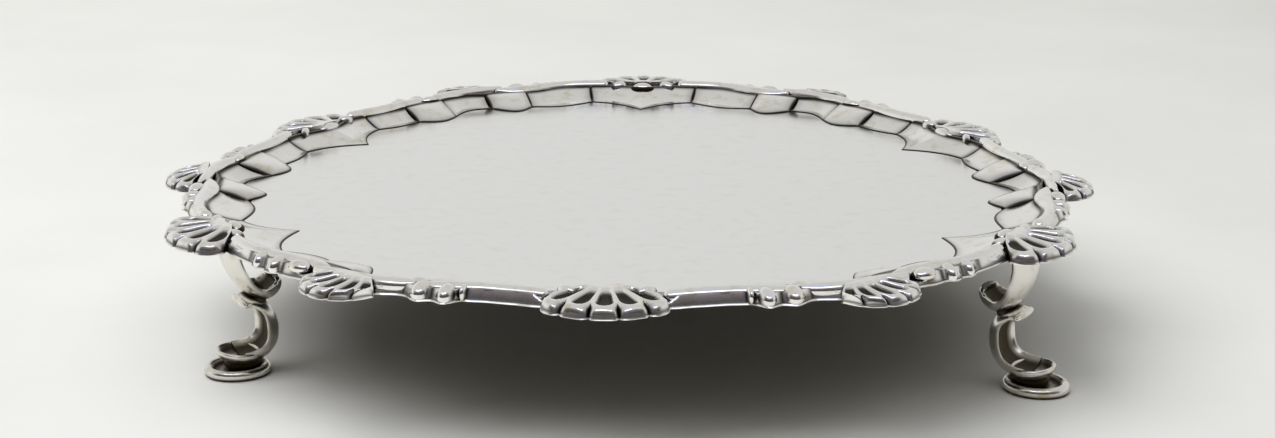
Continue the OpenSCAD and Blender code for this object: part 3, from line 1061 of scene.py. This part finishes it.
def between(value, a, b):
    """0 below a and 1 above b, with a soft step."""
    n = node(sky, "ShaderNodeMapRange", clamp=True)
    n.interpolation_type = "SMOOTHSTEP"
    n.inputs["From Min"].default_value, n.inputs["From Max"].default_value = a, b
    sky.links.new(value, n.inputs["Value"])
    return n.outputs["Result"]


def blend(mask, first, second):
    n = node(sky, "ShaderNodeMix", data_type="RGBA")
    sky.links.new(mask, n.inputs["Factor"])
    for socket, value in (("A", first), ("B", second)):
        if isinstance(value, tuple):
            n.inputs[socket].default_value = value
        else:
            sky.links.new(value, n.inputs[socket])
    return n.outputs["Result"]


# %% Which way a ray looks
where = node(sky, "ShaderNodeTexCoord")
parts = node(sky, "ShaderNodeSeparateXYZ")
sky.links.new(where.outputs["Generated"], parts.inputs["Vector"])
x, y, z = parts.outputs
flat = math_node("SQRT", math_node("ADD", math_node("MULTIPLY", x, x), math_node("MULTIPLY", y, y)))
towards = math_node("DIVIDE", math_node("MULTIPLY", y, -1.0), math_node("MAXIMUM", flat, 0.001))
front = between(towards, 0.1, 0.5)
window_side = between(towards, 0.6, 0.7)
dark_zone = math_node("MULTIPLY", front, math_node("SUBTRACT", 1.0, between(z, 0.62, 0.68)))


def band(low_edge, high_edge, soft=0.02):
    """The strip of the window side between two heights on the sphere."""
    above_low = between(z, low_edge, low_edge + soft)
    below_top = math_node("SUBTRACT", 1.0, between(z, high_edge, high_edge + soft))
    return math_node("MULTIPLY", window_side, math_node("MULTIPLY", above_low, below_top))


# %% [markdown]
# The tent is a little brighter on the left. The window has a blue fringe above it and a violet one
# below. The paper is lit by a simpler room, dark near the horizon, so that the shadow under the tray
# stays deep. The camera itself sees a plain pale backdrop.

# %% The room's colours
TENT_LEFT, TENT_RIGHT, TENT_TOP = (0.80, 0.80, 0.79, 1), (0.66, 0.66, 0.65, 1), (0.60, 0.60, 0.59, 1)
SHADE_LOW, SHADE_HIGH = (0.02, 0.017, 0.016, 1), (0.17, 0.15, 0.16, 1)
BLUE, VIOLET, WINDOW_LIGHT = (0.3, 0.42, 0.9, 1), (0.3, 0.2, 0.42, 1), (2.3, 2.35, 2.45, 1)
PAPER_LOW, PAPER_HIGH = (0.035, 0.03, 0.004, 1), (0.93, 0.93, 0.92, 1)
BACKDROP = (0.75, 0.75, 0.735, 1)
window, fringe, under_fringe = band(0.74, 0.86, 0.03), band(0.87, 0.94, 0.03), band(0.67, 0.72)
left_right = blend(between(x, -0.8, 0.8), TENT_LEFT, TENT_RIGHT)
tent = blend(between(z, 0.25, 0.8), left_right, TENT_TOP)
shade = blend(between(z, 0.05, 0.62), SHADE_LOW, SHADE_HIGH)
with_dark = blend(dark_zone, tent, shade)
with_fringe = blend(fringe, with_dark, BLUE)
with_both = blend(under_fringe, with_fringe, VIOLET)
with_window = blend(window, with_both, WINDOW_LIGHT)
ray = node(sky, "ShaderNodeLightPath")
low_light = blend(between(z, 0.5, 0.9), PAPER_LOW, PAPER_HIGH)
on_paper = blend(ray.outputs["Is Diffuse Ray"], with_window, low_light)
seen = blend(ray.outputs["Is Camera Ray"], on_paper, BACKDROP)
back = node(sky, "ShaderNodeBackground", Strength=1.0)
sky.links.new(seen, back.inputs["Color"])
sky_out = node(sky, "ShaderNodeOutputWorld")
sky.links.new(back.outputs["Background"], sky_out.inputs["Surface"])
print("room:", len(sky.nodes), "nodes")

# %% [markdown]
# ## The softbox
# One large soft light overhead casts the shadow under the tray. The silver doesn't mirror it,
# because the room's window already draws the bright lines.

# %% The overhead softbox
SOFTBOX_W, SOFTBOX_H = 1.3, 1.0
SOFTBOX_ENERGY = 10.8
key_data = bpy.data.lights.new("overhead_softbox", "AREA")
key_data.shape, key_data.size, key_data.size_y = "RECTANGLE", SOFTBOX_W, SOFTBOX_H
key_data.energy = SOFTBOX_ENERGY
key_light = bpy.data.objects.new("overhead_softbox", key_data)
bpy.context.scene.collection.objects.link(key_light)
key_light.location = (-0.6, -0.12, 1.0)
key_light.visible_glossy = False
key_light.rotation_euler = (Vector((0, 0, 0)) - key_light.location).to_track_quat("-Z", "Y").to_euler()
print("softbox at", tuple(key_light.location))

# %% [markdown]
# ## The camera
# It stands a little over half a metre in front of the tray and looks down on it at a low angle.

# %% The camera
LENS, SENSOR = 64.65, 36.0
camera_data = bpy.data.cameras.new("camera")
camera_data.lens, camera_data.sensor_width = LENS, SENSOR
camera = bpy.data.objects.new("camera", camera_data)
bpy.context.scene.collection.objects.link(camera)
camera.location = Vector((23.1, -520.6, 167.6)) * MM
aim = Vector((2.41, -3.40, 22.37)) * MM
camera.rotation_euler = (aim - camera.location).to_track_quat("-Z", "Y").to_euler()
bpy.context.scene.camera = camera
bpy.context.scene.view_settings.view_transform = "Standard"
print("camera at", tuple(camera.location))
